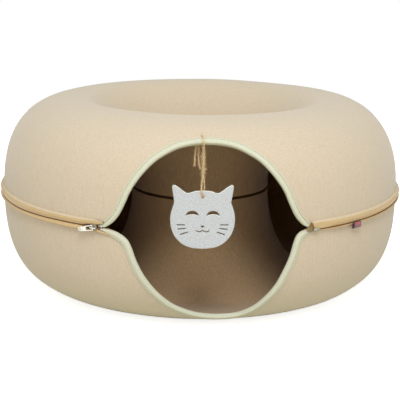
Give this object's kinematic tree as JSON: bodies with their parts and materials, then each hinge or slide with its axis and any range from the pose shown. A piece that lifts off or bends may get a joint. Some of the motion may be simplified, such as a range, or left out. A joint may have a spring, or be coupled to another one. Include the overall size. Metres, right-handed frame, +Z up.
{
  "type": "donut cat tunnel",
  "caption": "Donut-shaped felt cat tunnel, zipped apart round its middle, with a bound eye-shaped entrance, a centre hole and a flat felt cat head hanging in the entrance on jute twine.",
  "frame": {"origin": "on the floor, under the middle of the footprint", "axes": "+Z up, -Y towards the entrance, +X to the right as seen from the entrance"},
  "size_m": [0.5986, 0.5801, 0.274],
  "materials": {
    "felt": "warm beige needled felt",
    "binding": "pale cream-green woven binding tape",
    "zip_tape": "ochre woven zip tape",
    "zip_coil": "brown nylon coil",
    "zip_metal": "silver plated",
    "touch_strip": "beige hook and loop tape",
    "label": "maroon woven tape, blank",
    "toy_felt": "light grey felt with pale cut edges",
    "jute": "golden brown jute twine"
  },
  "bodies": {
    "lower_half": {"lower_felt_shell": "felt", "lower_entry_binding": "binding", "lower_zip_tape": "zip_tape", "lower_zip_coil": "zip_coil", "zip_retaining_box": "zip_metal", "lower_top_stop": "zip_metal", "inner_loop_strip": "touch_strip", "side_label": "label"},
    "upper_half": {"upper_felt_shell": "felt", "upper_entry_binding": "binding", "upper_zip_tape": "zip_tape", "upper_zip_coil": "zip_coil", "zip_insertion_pin": "zip_metal", "upper_top_stop": "zip_metal", "inner_hook_strip": "touch_strip", "twine_hitch_outer": "jute", "twine_hitch_inner": "jute", "twine_knot": "jute", "twine_tail_long": "jute", "twine_tail_short": "jute"},
    "zip_slider": {"slider_body": "zip_metal", "slider_crown": "zip_metal"},
    "zip_pull": {"pull_tab": "zip_metal"},
    "twine_upper": {"twine_drop_upper": "jute"},
    "twine_lower": {"twine_drop_lower": "jute"},
    "hanging_toy": {"twine_loop": "jute", "cat_toy": "toy_felt"}
  },
  "joints": [
    {"name": "upper_lift", "type": "slide", "parent": "lower_half", "child": "upper_half", "axis": [0, 0, 1], "range_m": [0, 0.15]},
    {"name": "slider_travel", "type": "hinge", "parent": "lower_half", "child": "zip_slider", "pos_m": [0, -0.01016, 0.14], "axis": [0, 0, 1], "range_deg": [-300, 0]},
    {"name": "pull_swing", "type": "hinge", "parent": "zip_slider", "child": "zip_pull", "pos_m": [-0.14822, -0.27326, 0.14], "axis": [-0.196, 0.1104, 0.9744], "range_deg": [0, 170]},
    {"name": "toy_swing", "type": "hinge", "parent": "upper_half", "child": "twine_upper", "pos_m": [-0.0055, -0.26762, 0.2385], "axis": [1, 0, 0], "range_deg": [-70, 60]},
    {"name": "toy_sway", "type": "hinge", "parent": "twine_upper", "child": "twine_lower", "pos_m": [-0.0055, -0.26762, 0.224], "axis": [0, 1, 0], "range_deg": [-30, 30]},
    {"name": "toy_twist", "type": "hinge", "parent": "twine_lower", "child": "hanging_toy", "pos_m": [-0.0055, -0.26762, 0.209], "axis": [0, 0, 1], "range_deg": [-180, 180]}
  ]
}
